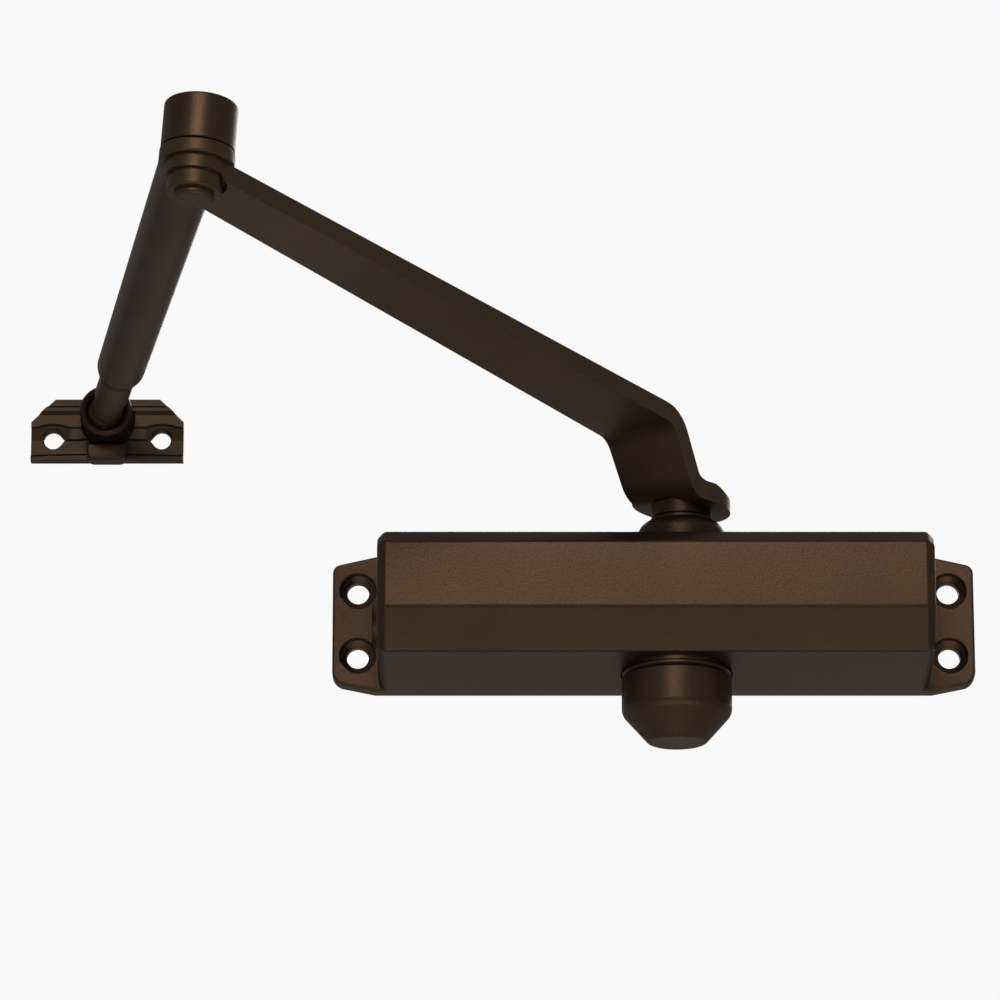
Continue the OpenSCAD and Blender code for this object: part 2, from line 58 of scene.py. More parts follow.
# %% [markdown]
# ## Colours and nodes
# Colours are picked as sRGB hex, as a paint chart gives them, and a shader wants linear light. One function
# does that. A second one adds any node with its settings and links, so each material reads as a short list.

# %% Colour and node helpers
def linear(hex_code):
    """An sRGB hex colour as linear red, green, blue and alpha."""
    channels = [int(hex_code[i:i + 2], 16) / 255 for i in (1, 3, 5)]
    return [c / 12.92 if c <= 0.04045 else ((c + 0.055) / 1.055) ** 2.4 for c in channels] + [1.0]


def add(tree, kind, links=(), **settings):
    """Adds a node of a kind. A setting is a property or a socket; links are (socket, node, its output)."""
    node = tree.nodes.new("ShaderNode" + kind)
    for name, value in settings.items():
        if hasattr(node, name):
            setattr(node, name, value)
        else:
            node.inputs[name.replace("_", " ")].default_value = value
    for socket, source, output in links:
        tree.links.new(source.outputs[output], node.inputs[socket])
    return node


def new_finish(name):
    """An empty material with its output, its shader and Object coordinates."""
    material = bpy.data.materials.new(name)
    material.use_nodes = True
    tree = material.node_tree
    tree.nodes.clear()
    shader = add(tree, "BsdfPrincipled")
    add(tree, "OutputMaterial", [("Surface", shader, "BSDF")])
    return material, tree, shader, add(tree, "TexCoord")


def per_metre(size_mm):
    """A texture's scale for features of this size."""
    return 1 / (size_mm * MM)


print("linear #504033 is", [round(c, 3) for c in linear("#504033")])

# %% [markdown]
# ## Dark bronze powder coat
# Castings and bars are sprayed with polyester powder and baked. The coat flows a little as it melts, which
# leaves a fine orange peel, and its bronze comes from brown pigment with metal flake. To the eye that is a
# satin, slightly grainy dark brown with broad soft highlights. Typical satin polyester is a paint, with an
# IOR of 1.5, no metal and a roughness of 0.4 to 0.5. Metallic is set far above that, at 0.75 to 0.85, and
# roughness is centred on 0.37 to 0.43, because the facets then part from each other as they do on the
# object. These are matched values, not measured ones. The peel is about 0.9 mm across, and the flake is
# drawn at 0.35 mm, coarser than the real 0.05 mm, because a finer one would not show.
#
# The cover cap is moulded plastic in the same bronze. Real plastic has no metal in it either, and it gets
# the same kind of setting so that it goes with the casting. The gland nut, the spacer and the foot are a
# darker brown.

# %% Powder coat
PEEL_MM, FLAKE_MM, DRIFT_MM = 0.9, 0.35, 28


def powder_coat(name, shade, light_shade, gloss_roughness, metal):
    material, tree, shader, where = new_finish(name)
    place = ("Vector", where, "Object")
    drift = add(tree, "TexNoise", [place], Scale=per_metre(DRIFT_MM), Detail=2.0, Roughness=0.5)
    flake = add(tree, "TexNoise", [place], Scale=per_metre(FLAKE_MM), Detail=2.0, Roughness=0.6)
    peel = add(tree, "TexNoise", [place], Scale=per_metre(PEEL_MM), Detail=1.5, Roughness=0.45)
    both = add(tree, "Math", [(0, drift, "Fac"), (1, flake, "Fac")], operation="MULTIPLY")
    spread = add(tree, "MapRange", [("Value", both, "Value")], From_Min=0.12, From_Max=0.40)
    colour = add(tree, "Mix", [(0, spread, "Result")], data_type="RGBA")
    colour.inputs[6].default_value, colour.inputs[7].default_value = linear(shade), linear(light_shade)
    matt = add(tree, "MapRange", [("Value", flake, "Fac")], From_Min=0.3, From_Max=0.7,
               To_Min=gloss_roughness - 0.05, To_Max=gloss_roughness + 0.06)
    bumps = add(tree, "Math", [(0, peel, "Fac"), (1, flake, "Fac")], operation="ADD")
    relief = add(tree, "Bump", [("Height", bumps, "Value")], Strength=0.35, Distance=0.00006)
    shader.inputs["Metallic"].default_value = metal
    tree.links.new(colour.outputs[2], shader.inputs["Base Color"])
    tree.links.new(matt.outputs["Result"], shader.inputs["Roughness"])
    tree.links.new(relief.outputs["Normal"], shader.inputs["Normal"])
    return material


coat = powder_coat("bronze_powder_coat_on_cast_aluminium", "#5a4534", "#654e3b", 0.37, 0.85)
bar_coat = powder_coat("bronze_powder_coat_on_steel_bar", "#604b35", "#6b543d", 0.43, 0.75)
cap_plastic = powder_coat("bronze_moulded_plastic", "#584431", "#634d39", 0.38, 0.80)
fine_coat = powder_coat("bronze_powder_coat_on_turned_and_zinc_parts", "#443325", "#4f3c2b",
                        0.42, 0.80)
print("coats:", coat.name, bar_coat.name, cap_plastic.name, fine_coat.name)

# %% [markdown]
# ## Bare metals and rubber
# The parts inside, and the plugs and screws that show at the ends and on top, are not painted. Ground steel
# has fine turning marks, black oxide steel is a thin dark conversion layer, brass is turned and yellow, and
# the seals are matt black nitrile rubber. A metal keeps the default IOR and gets its look from colour and
# roughness.

# %% Metals and rubber
def machined(name, shade, light_shade, low, high, metal=1.0, mark_mm=0.4, depth=0.00002):
    """A finish with fine marks: streaks of colour and roughness at a real spacing."""
    material, tree, shader, where = new_finish(name)
    place = ("Vector", where, "Object")
    marks = add(tree, "TexNoise", [place], Scale=per_metre(mark_mm), Detail=3.0, Roughness=0.6)
    cloud = add(tree, "TexNoise", [place], Scale=per_metre(9), Detail=2.0)
    colour = add(tree, "Mix", [(0, cloud, "Fac")], data_type="RGBA")
    colour.inputs[6].default_value, colour.inputs[7].default_value = linear(shade), linear(light_shade)
    rough = add(tree, "MapRange", [("Value", marks, "Fac")], From_Min=0.3, From_Max=0.7,
                To_Min=low, To_Max=high)
    relief = add(tree, "Bump", [("Height", marks, "Fac")], Strength=0.3, Distance=depth)
    shader.inputs["Metallic"].default_value = metal
    tree.links.new(colour.outputs[2], shader.inputs["Base Color"])
    tree.links.new(rough.outputs["Result"], shader.inputs["Roughness"])
    tree.links.new(relief.outputs["Normal"], shader.inputs["Normal"])
    return material


black_steel = machined("black_oxide_steel", "#2b2724", "#393430", 0.38, 0.52)
bright_steel = machined("ground_steel", "#a3a19c", "#bab8b3", 0.22, 0.36)
turned_brass = machined("turned_brass", "#b08a48", "#c29c58", 0.24, 0.38)
nitrile = machined("nitrile_rubber", "#151413", "#1f1d1b", 0.62, 0.78, metal=0.0, mark_mm=0.6)
FINISH_OF_SLOT = {
    "bronze_powder_coat": coat, "bronze_cap_plastic": cap_plastic, "bronze_plated_rod": bar_coat,
    "blackened_steel": black_steel, "bright_steel": bright_steel, "brass": turned_brass,
    "seal_rubber": nitrile,
}
for part in frame["record"]["subparts"]:
    node = frame["nodes"][part["node"]]
    node.data.materials.clear()
    node.data.materials.append(FINISH_OF_SLOT[part["material_slot"]])
print("finishes on", len(frame["nodes"]), "CAD nodes")

# %% [markdown]
# ## Ways to make a shape
# Three ways cover this object: a flat outline pushed out to a thickness, a profile turned about an axis,
# and an exact boolean that joins or cuts two closed shapes. Real castings and forgings have no sharp edges,
# so every shape is then softened with a bevel.

# %% Shape helpers
def prism(outline, axis, start, length):
    """Pushes a closed outline (in mm, in the plane across the axis) along an axis."""
    bm = bmesh.new()
    corners = {"X": lambda a, b: (start, a, b), "Y": lambda a, b: (a, start, b),
               "Z": lambda a, b: (a, b, start)}
    face = bm.faces.new([bm.verts.new(Vector(corners[axis](a, b)) * MM) for a, b in outline])
    grown = bmesh.ops.extrude_face_region(bm, geom=[face])["geom"]
    shift = Vector([length if axis == k else 0 for k in "XYZ"]) * MM
    bmesh.ops.translate(bm, vec=shift, verts=[v for v in grown if isinstance(v, bmesh.types.BMVert)])
    bmesh.ops.recalc_face_normals(bm, faces=bm.faces)
    return bm


def turned(profile, steps=96, tube=False):
    """Turns a profile of (radius, height) points in mm about Z. A tube's profile is a closed loop."""
    bm = bmesh.new()
    points = [bm.verts.new((r * MM, 0, z * MM)) for r, z in profile]
    chain = [bm.edges.new(pair) for pair in zip(points, points[1:])]
    if tube:
        chain.append(bm.edges.new((points[-1], points[0])))
    bmesh.ops.spin(bm, geom=points + chain, cent=(0, 0, 0), axis=(0, 0, 1), angle=2 * pi, steps=steps,
                   use_merge=True)
    bmesh.ops.remove_doubles(bm, verts=bm.verts, dist=1e-6)
    bmesh.ops.recalc_face_normals(bm, faces=bm.faces)
    return bm


def soften(bm, radius, segments=3, sharper_than=25, which=lambda edge: True):
    """Rounds the sharp edges of a shape to a radius in mm."""
    edges = [e for e in bm.edges
             if len(e.link_faces) == 2 and e.calc_face_angle(0) > radians(sharper_than) and which(e)]
    bmesh.ops.bevel(bm, geom=edges, offset=radius * MM, segments=segments, profile=0.5, affect="EDGES",
                    clamp_overlap=True, material=-1)
    return bm


def arc(centre, radius, start, end, steps=8):
    """Points along an arc in mm, from one angle to another in degrees."""
    angles = [radians(start + (end - start) * i / steps) for i in range(steps + 1)]
    return [(centre[0] + radius * cos(a), centre[1] + radius * sin(a)) for a in angles]


def moved(bm, matrix):
    bmesh.ops.transform(bm, matrix=matrix, verts=bm.verts)
    return bm


def combined(bm, tool, operation):
    """Joins (UNION), cuts (DIFFERENCE) or keeps what two shapes share (INTERSECT)."""
    pair = []
    for shape in (bm, tool):
        mesh = bpy.data.meshes.new("in_work")
        shape.to_mesh(mesh)
        shape.free()
        pair.append(bpy.data.objects.new("in_work", mesh))
        bpy.context.scene.collection.objects.link(pair[-1])
    step = pair[0].modifiers.new("step", "BOOLEAN")
    step.operation, step.object, step.solver = operation, pair[1], "EXACT"
    result = bmesh.new()
    result.from_object(pair[0], bpy.context.evaluated_depsgraph_get())
    for obj in pair:
        bpy.data.meshes.remove(obj.data)
    bmesh.ops.remove_doubles(result, verts=result.verts, dist=1e-6)
    return result


def piece(name, bm, finish, body, *stands_for):
    """Closes what booleans left open, then makes a piece that rides on a body for its CAD nodes."""
    bmesh.ops.dissolve_degenerate(bm, dist=2e-6, edges=bm.edges)
    bmesh.ops.delete(bm, geom=[e for e in bm.edges if not e.link_faces], context="EDGES")
    rims = [e for e in bm.edges if len(e.link_faces) == 1]
    filled = len(rims)
    bmesh.ops.holes_fill(bm, edges=rims, sides=0)
    bmesh.ops.recalc_face_normals(bm, faces=bm.faces)
    for face in bm.faces:
        face.smooth = True
    mesh = bpy.data.meshes.new(name)
    open_edges = sum(1 for e in bm.edges if len(e.link_faces) != 2)
    bm.to_mesh(mesh)
    bm.free()
    mesh.materials.append(finish)
    mesh.set_sharp_from_angle(angle=radians(32))
    obj = bpy.data.objects.new(name, mesh)
    bpy.context.scene.collection.objects.link(obj)
    flats = obj.modifiers.new("flats_stay_flat", "WEIGHTED_NORMAL")
    flats.keep_sharp = True
    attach(obj, body)
    if stands_for:
        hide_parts(*stands_for)
    print(name, len(mesh.polygons), "faces,", filled, "open edges filled,", open_edges, "open edges left")


def axis_frame(origin, along, side=Vector((0, 0, 1))):
    """A placing matrix whose Z runs along a direction, at an origin in mm."""
    z = Vector(along).normalized()
    x = side.cross(z) if abs(side.dot(z)) < 0.9 else Vector((1, 0, 0))
    x = (x - z * x.dot(z)).normalized()
    y = z.cross(x)
    rows = Matrix((x, y, z)).transposed().to_4x4()
    return Matrix.Translation(Vector(origin) * MM) @ rows


def box_mm(node):
    low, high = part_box(node)
    return low / MM, high / MM

# %% [markdown]
# ## The body casting
# The body is one aluminium die casting: a long block whose front is folded into facets, with a thin lug at
# each end for the screws. A section pushed along X gives the facets. The ends get a 2 mm chamfer that runs
# right round the front, as the die needs, and every other edge a small radius.

# %% Block with chamfered ends
casting_low, casting_high = box_mm("body_casting")
BLOCK_HALF = 78.0
BOTTOM, TOP, FRONT = -19.8, 18.9, -38.5
SECTION = [(0, BOTTOM), (-7, BOTTOM), (-34, -15.7), (FRONT, -3.9), (FRONT, 14.9), (-34.5, TOP), (0, TOP)]
END_CHAMFER = 2.0

casting = prism(SECTION, "X", -BLOCK_HALF, 2 * BLOCK_HALF)
end_edges = [e for e in casting.edges
             if abs(e.verts[0].co.x - e.verts[1].co.x) < 1e-6 and min(v.co.y for v in e.verts) < -1e-6]
bmesh.ops.bevel(casting, geom=end_edges, offset=END_CHAMFER * MM, segments=1, profile=0.5, affect="EDGES",
                clamp_overlap=True, material=-1)
soften(casting, 0.7, which=lambda e: min(v.co.y for v in e.verts) < -1e-6, sharper_than=12)
print("block:", len(casting.faces), "faces; CAD casting, mm:", casting_low[:], casting_high[:])

# %% [markdown]
# ## Lugs, screw seats and the boss
# Each lug is a plate with two screw holes. A screw head sits in a shallow round seat with a coned floor.
# Under the pinion the casting has a flat round boss for the cover cap. These are joined and cut with exact
# booleans, since they meet the facets at odd angles that no extrusion gives. The cap sits 1.65 mm to the
# left of the pinion's axis, and the frame's cap does not, so the boss and the seat are shifted here and the
# cap and its gasket later.

# %% Lugs
LUG_T = 5.5
LUG_TIP = 91.2
LUG_TOP = TOP + 1.1
LUG_ROOT = 70
LUG_OUTLINE = ([(LUG_ROOT, BOTTOM + 0.05), (BLOCK_HALF + 1, BOTTOM)]
               + arc((LUG_TIP - 4.2, BOTTOM + 5.9), 4.2, -70, 0)
               + arc((LUG_TIP - 2.6, LUG_TOP - 5.1), 2.6, 0, 74)
               + [(BLOCK_HALF + 1, LUG_TOP - 0.25), (LUG_ROOT, LUG_TOP - 0.35)])
for side in (1, -1):
    lug = prism([(side * x, z) for x, z in LUG_OUTLINE], "Y", 0, -LUG_T)
    soften(lug, 0.7, which=lambda e: max(v.co.y for v in e.verts) < -0.001)
    casting = combined(casting, lug, "UNION")
print("with lugs:", len(casting.faces), "faces")

# %% Boss and its seat
PIN_X, PIN_D, CAP_OFFSET = 7.7, 17.5, -1.65
at_pinion = Matrix.Translation(Vector((PIN_X, -PIN_D, 0)) * MM)
at_cap = at_pinion @ Matrix.Translation((CAP_OFFSET * MM, 0, 0))
BOSS_Z, BOSS_R, GASKET_R = -17.3, 14.6, 15.4
boss = moved(turned([(0, BOSS_Z), (BOSS_R, BOSS_Z), (BOSS_R, -8), (0, -8)]), at_cap)
casting = combined(casting, boss, "UNION")
cap_seat = moved(turned([(0, -26), (GASKET_R + 0.4, -26), (GASKET_R + 0.4, BOSS_Z), (0, BOSS_Z)]), at_cap)
casting = combined(casting, cap_seat, "DIFFERENCE")
print("with the boss:", len(casting.faces), "faces")

# %% Screw seats, plug bores and valve bores
SCREW_SEAT = [(0, -1), (3.15, -1), (3.15, 3.0), (3.55, 3.4), (4.75, 3.85), (5.0, 4.15), (5.0, 5.0),
              (5.25, 5.4), (5.7, 5.6), (5.7, 9), (0, 9)]
for x in (-84, 84):
    for z in (-9.5, 9.5):
        cutter = moved(turned(SCREW_SEAT, steps=64), axis_frame((x, 0, z), (0, -1, 0)))
        casting = combined(casting, cutter, "DIFFERENCE")
PLUG_BORE = [(0, -8.1), (13.35, -8.1), (13.35, -0.5), (13.9, 0.05), (13.9, 2), (0, 2)]
for side in (1, -1):
    cutter = moved(turned(PLUG_BORE), axis_frame((side * BLOCK_HALF, -PIN_D, -0.5), (side, 0, 0)))
    casting = combined(casting, cutter, "DIFFERENCE")
VALVE_BORE = [(0, -14), (2.3, -14), (2.3, -0.3), (2.65, 0.05), (2.65, 2), (0, 2)]
for d, z in ((33, 12.6), (31.1, -12.4)):
    cutter = moved(turned(VALVE_BORE, steps=48), axis_frame((BLOCK_HALF, -d, z), (1, 0, 0)))
    casting = combined(casting, cutter, "DIFFERENCE")
piece("body_casting_finished", casting, coat, "closer_body", "body_casting")

# %% [markdown]
# ## Gland nuts, arm spacer and cover cap
# The pinion comes out of the body through a gland nut, which shows as a low dome with a neck. The other end
# of the pinion is not used here and hides under a cap: a short cylinder that tapers to a small flat end.
# All are turned about the pinion's axis.

# %% Parts turned about the pinion
GLAND_TOP = TOP + 8
gland = turned([(6.3, 12.8), (11, 12.8), (11, TOP), (12.0, TOP), (12.3, TOP + 0.3), (12.3, TOP + 2.2)]
               + arc((8.3, TOP + 3.2), 4, 0, 78, 8)
               + [(8.7, TOP + 7.3), (8.7, GLAND_TOP), (6.3, GLAND_TOP)], tube=True)
piece("top_gland_nut_finished", moved(gland, at_pinion), fine_coat, "closer_body", "top_gland_nut")

EYE_Z = 30.3
spacer = turned([(6.1, GLAND_TOP + 0.3), (8.1, GLAND_TOP + 0.3), (8.4, GLAND_TOP + 0.6), (8.4, EYE_Z + 0.9),
                 (6.1, EYE_Z + 0.9)], tube=True)
piece("arm_spacer_finished", moved(spacer, at_pinion), fine_coat, "pinion_and_arm", "arm_spacer")

CAP_TOP, CAP_R, CAP_SIDE, CAP_CONE, CAP_END_R = -19.05, 15.5, 10.6, 8.4, 8.1
corner, foot_of_cone = CAP_TOP - CAP_SIDE, CAP_TOP - CAP_SIDE - CAP_CONE
cap = turned([(12.35, CAP_TOP), (CAP_R - 0.5, CAP_TOP), (CAP_R, CAP_TOP - 0.5), (CAP_R, corner),
              (CAP_END_R, foot_of_cone), (0, foot_of_cone), (0, foot_of_cone + 2.2),
              (6.5, foot_of_cone + 2.2),
              (13.1, corner + 0.5), (13.1, CAP_TOP - 3.4), (12.35, CAP_TOP - 2.8), (12.35, CAP_TOP)])
soften(cap, 1.3, segments=5, which=lambda e: all(abs(v.co.z / MM - corner) < 0.01 for v in e.verts)
       and all(v.co.xy.length / MM > 14 for v in e.verts))
soften(cap, 0.8, segments=4, which=lambda e: all(abs(v.co.z / MM - foot_of_cone) < 0.01 for v in e.verts)
       and all(v.co.xy.length / MM > 7 for v in e.verts))
piece("pinion_cap_finished", moved(cap, at_cap), cap_plastic, "closer_body", "pinion_cap")

gasket = turned([(12.6, CAP_TOP + 0.1), (GASKET_R - 0.7, CAP_TOP + 0.1), (GASKET_R, CAP_TOP + 0.7),
                 (GASKET_R, BOSS_Z - 0.5), (GASKET_R - 0.5, BOSS_Z), (12.6, BOSS_Z)], tube=True)
piece("cap_gasket_ring_finished", moved(gasket, at_cap), coat, "closer_body", "cap_gasket_ring")

# %% [markdown]
# ## The main arm
# The main arm is one steel bar, forged flat, bent up in a joggle beside the pinion and tapered to the
# elbow. Its side view is an outline with two round bends, and its plan is a tapered strip with a round eye
# at each end. What the two prisms share is the bar, and a bevel gives the rolled edges of forged stock. The
# bends leave the eye leaning a little to the right, and its underside is faced off at the elbow, so that
# the cap nut sits up in it. Every cut comes before the bevel, because an exact boolean on the bevelled bar
# sometimes left nothing.

# %% Main arm, side view
ARM_REACH, ARM_TURN, ARM_SLOPE = 211.4, radians(232.16), 5.74
BAR_T, BAR_Z, JOGGLE = 5.3, 46.8, 63
LOW_R, HIGH_R = 3 + BAR_T, 6
slope, joggle = radians(ARM_SLOPE), radians(JOGGLE)
ELBOW_Z = BAR_Z + ARM_REACH * tan(slope)
EYE_R, ELBOW_EYE_R, BEND_START = 14.0, 8.3, 4.6
low = Vector((BEND_START, EYE_Z + LOW_R))
web = ((BAR_Z - EYE_Z - LOW_R * (1 - cos(joggle)) - HIGH_R * (cos(slope) - cos(joggle))
        + tan(slope) * (BEND_START + LOW_R * sin(joggle) + HIGH_R * (sin(joggle) - sin(slope))))
       / (sin(joggle) - tan(slope) * cos(joggle)))
high = low + (LOW_R + HIGH_R) * Vector((sin(joggle), -cos(joggle))) + web * Vector((cos(joggle), sin(joggle)))
side_view = ([(-EYE_R - 1, EYE_Z)]
             + arc(low, LOW_R, -90, JOGGLE - 90)
             + arc(high, HIGH_R, JOGGLE + 90, ARM_SLOPE + 90)
             + [(ARM_REACH, ELBOW_Z), (ARM_REACH - BAR_T * sin(slope), ELBOW_Z + BAR_T * cos(slope))]
             + arc(high, HIGH_R + BAR_T, ARM_SLOPE + 90, JOGGLE + 90)
             + arc(low, LOW_R - BAR_T, JOGGLE - 90, -90)
             + [(-EYE_R - 1, EYE_Z + BAR_T)])
print("elbow eye's height over the pinion's, mm:", round(ELBOW_Z - EYE_Z, 2))

# %% Main arm, bar and eyes
EYE_STEP = 1.7
bar = prism(side_view, "Y", 20, -40)
NARROW = 15.8 / 2
WAIST, SHOULDER = 58, (24, 12.0)
plan = (arc((0, 0), EYE_R, WAIST, 360 - WAIST, 32)
        + [(SHOULDER[0], -SHOULDER[1]), (ARM_REACH, -NARROW), (ARM_REACH, NARROW), SHOULDER])
bar = combined(bar, prism(plan, "Z", EYE_Z - 5, 60), "INTERSECT")
at_elbow_on_arm = Matrix.Translation(Vector((ARM_REACH, 0, ELBOW_Z)) * MM) @ Matrix.Rotation(-slope, 4, "Y")
eye = moved(turned([(0, 0), (ELBOW_EYE_R, 0), (ELBOW_EYE_R, BAR_T), (0, BAR_T)], steps=64), at_elbow_on_arm)
bar = combined(bar, eye, "UNION")
washer_seat = turned([(0, EYE_Z + BAR_T), (5.8, EYE_Z + BAR_T), (5.8, EYE_Z + BAR_T + 14),
                      (0, EYE_Z + BAR_T + 14)])
bar = combined(bar, washer_seat, "DIFFERENCE")
nut_seat = turned([(0, -1), (ELBOW_EYE_R + 0.1, -1), (ELBOW_EYE_R + 0.1, EYE_STEP), (0, EYE_STEP)],
                  steps=64)
bar = combined(bar, moved(nut_seat, at_elbow_on_arm), "DIFFERENCE")
bmesh.ops.dissolve_limit(bar, angle_limit=radians(0.5), verts=bar.verts, edges=bar.edges)
print("bar and eyes:", len(bar.faces), "faces")

# %% Main arm, soft edges, rolled rim and lean
elbow_end = at_elbow_on_arm.translation
soften(bar, 0.9, segments=4, sharper_than=40,
       which=lambda e: all(v.co.xy.length > 7 * MM and (v.co - elbow_end).length > (ELBOW_EYE_R + 3.5) * MM
                           for v in e.verts))
EYE_ROLL, ROLL_WIDTH, EYE_LEAN = 1.7, 3, 0.115
for v in bar.verts:
    past_rim = (v.co.xy.length / MM - EYE_R + ROLL_WIDTH) / ROLL_WIDTH
    if v.co.z / MM > EYE_Z + BAR_T - 1 and v.co.x < 2 * MM and past_rim > 0:
        v.co.z -= EYE_ROLL * MM * min(1, past_rim) * min(1, (2 - v.co.x / MM) / 6)
on_arm = at_pinion @ Matrix.Rotation(ARM_TURN, 4, "Z")
moved(bar, on_arm)
for v in bar.verts:
    above_eye = (v.co.z / MM - EYE_Z) / (BAR_Z - EYE_Z)
    v.co.z -= EYE_LEAN * (v.co.x - PIN_X * MM) * min(1, max(0, 1 - above_eye))
piece("main_arm_finished", bar, bar_coat, "pinion_and_arm", "main_arm")

# %% [markdown]
# ## The elbow
# The two arms pivot on a shouldered pin. From below it shows a stepped cap nut, the round end of the main
# arm, a thrust ring, and the hub of the forearm. All are turned parts on one axis that leans with the main
# arm, so each is a profile turned about Z and then placed on that axis.

# %% Elbow stack
at_elbow = on_arm @ at_elbow_on_arm
elbow_point = at_elbow.translation / MM
elbow_axis = (at_elbow.to_3x3() @ Vector((0, 0, 1))).normalized()

RING_LOW, RING_HIGH, RING_R = BAR_T, BAR_T + 3.85, 9.85
ring = turned([(3.6, RING_LOW), (RING_R, RING_LOW), (RING_R, RING_HIGH), (3.6, RING_HIGH)], tube=True)
soften(ring, 0.55, which=lambda e: min(v.co.xy.length for v in e.verts) > 0.009)
piece("elbow_thrust_ring_finished", moved(ring, at_elbow), bar_coat, "pinion_and_arm", "elbow_thrust_ring")

NUT_R, NUT_LOW, TIP_R, TIP_LOW = 7.2, -2.7, 5.2, -4.6
nut = turned([(0, EYE_STEP), (NUT_R, EYE_STEP), (NUT_R, NUT_LOW + 0.6)]
             + arc((NUT_R - 0.6, NUT_LOW + 0.6), 0.6, 0, -90, 5)
             + [(TIP_R, NUT_LOW)] + arc((TIP_R - 1, TIP_LOW + 1), 1, 0, -90, 6) + [(0, TIP_LOW)])
piece("elbow_cap_nut_finished", moved(nut, at_elbow), bar_coat, "pinion_and_arm", "elbow_cap_nut")

HUB_LOW, HUB_R, HUB_TOP = BAR_T + 4.15, 9.65, BAR_T + 16.9
plug = turned([(0, HUB_TOP - 1.6), (7.4, HUB_TOP - 1.6), (7.4, HUB_TOP - 0.3), (0, HUB_TOP - 0.3)], steps=64)
soften(plug, 0.35)
piece("elbow_top_plug_finished", moved(plug, at_elbow), coat, "forearm", "elbow_top_plug")

# %% [markdown]
# ## The forearm
# The forearm is a cast sleeve with a hub on one end, tapering to a short cone, and a plain rod that slides
# out of it for adjustment and ends in a ball. The sleeve is the hub and a turned tube, joined at a slight
# angle, because the tube drops to the frame while the hub follows the leaning elbow axis.

# %% Forearm sleeve
FOOT_X, FOOT_D, FOOT_Z = -156.5, 10.5, 61.1
FOREARM_LIFT = 8.6
forearm_start = elbow_point + elbow_axis * (BAR_T + FOREARM_LIFT)
ball_centre = Vector((FOOT_X, -FOOT_D, FOOT_Z))
forearm_way = ball_centre - forearm_start
FOREARM_L = forearm_way.length
on_forearm = axis_frame(forearm_start, forearm_way)
SLEEVE_END = FOREARM_L - 27
tube = turned([(0, 0), (8.1, 0), (6.75, SLEEVE_END - 5), (5.6, SLEEVE_END), (4.95, SLEEVE_END),
               (4.95, SLEEVE_END - 45), (0, SLEEVE_END - 45)])
soften(tube, 0.45, segments=3, sharper_than=9,
       which=lambda e: min(v.co.z for v in e.verts) / MM > SLEEVE_END - 6
       and min(v.co.xy.length for v in e.verts) > 0.0052)
hub = turned([(3.6, HUB_LOW), (HUB_R, HUB_LOW), (HUB_R, HUB_TOP), (7.45, HUB_TOP), (7.45, HUB_TOP - 1.7),
              (3.6, HUB_TOP - 1.7)], tube=True)
soften(hub, 0.75, segments=4, which=lambda e: min(v.co.xy.length for v in e.verts) > 0.009
       and min(v.co.z for v in e.verts) / MM > HUB_LOW + 1)
soften(hub, 0.3, which=lambda e: min(v.co.xy.length for v in e.verts) > 0.009
       and max(v.co.z for v in e.verts) / MM < HUB_LOW + 0.1)
RING_CLEAR, ARM_CLEAR = RING_R + 0.3, 24
below_hub = moved(turned([(0, -30), (2 * ARM_CLEAR, -30), (2 * ARM_CLEAR, BAR_T - 3),
                          (ARM_CLEAR, BAR_T + 0.3), (RING_CLEAR, BAR_T + 0.3), (RING_CLEAR, HUB_LOW),
                          (0, HUB_LOW)], steps=64), at_elbow)
tube = combined(moved(tube, on_forearm), below_hub, "DIFFERENCE")
inside_hub = moved(turned([(0, -5), (HUB_R - 1.5, -5), (HUB_R - 1.5, 40), (0, 40)], steps=64), at_elbow)
tube = combined(tube, inside_hub, "DIFFERENCE")
sleeve = combined(moved(hub, at_elbow), tube, "UNION")
piece("forearm_sleeve_finished", sleeve, coat, "forearm", "forearm_sleeve")
print("forearm length, mm:", round(FOREARM_L, 2))

# %% Rod and ball
BALL_R, NECK_R, ROD_R = 5.1, 4.3, 4.9
rod = turned([(0, FOREARM_L - 66), (ROD_R, FOREARM_L - 66), (ROD_R, FOREARM_L - 13), (NECK_R, FOREARM_L - 8)]
             + [(BALL_R * cos(radians(a)), FOREARM_L + BALL_R * sin(radians(a))) for a in range(-32, 90, 8)]
             + [(0, FOREARM_L + BALL_R)], steps=64)
piece("adjusting_rod_finished", moved(rod, on_forearm), bar_coat, "forearm_rod", "adjusting_rod")

# %% [markdown]
# ## The foot
# The foot is a small die casting screwed to the frame. Its plate is not flat: ledges run across it, the top
# one standing out most, and they rise a little over the screw holes and in the middle. A cup holds the
# rod's ball and a rib stands under it. The plate's cross-section is pushed along X in short steps, so that
# the ledges can be lifted where they arch.

# %% Foot plate with its ledges
FOOT_LOW, FOOT_W, FOOT_H, FOOT_CORNER = FOOT_Z - 12, 43.8, 18.4, 6.9
HOLE_X, HOLE_Z, HOLE_R, HOLE_POINT = 15.6, FOOT_LOW + 6.4, 2.65, 3.5
LEDGES = [(0, 0), (3.4, 0), (3.4, 1.0), (2.2, 1.9), (2.2, 6.0), (3.0, 6.5), (2.7, 9.6), (3.4, 10.1),
          (3.2, 13.6), (4.2, 14.6), (4.2, 15.6), (3.2, 16.4), (3.0, FOOT_H), (0, FOOT_H)]
STEPS = 44
plate = bmesh.new()
start = plate.faces.new([plate.verts.new(Vector((-FOOT_W / 2, -d, z)) * MM) for d, z in LEDGES])
ends = [start]
for _ in range(STEPS):
    grown = bmesh.ops.extrude_face_region(plate, geom=ends)["geom"]
    bmesh.ops.translate(plate, vec=(FOOT_W / STEPS * MM, 0, 0),
                        verts=[v for v in grown if isinstance(v, bmesh.types.BMVert)])
    bmesh.ops.delete(plate, geom=[f for f in ends if f is not start], context="FACES_ONLY")
    ends = [g for g in grown if isinstance(g, bmesh.types.BMFace)]
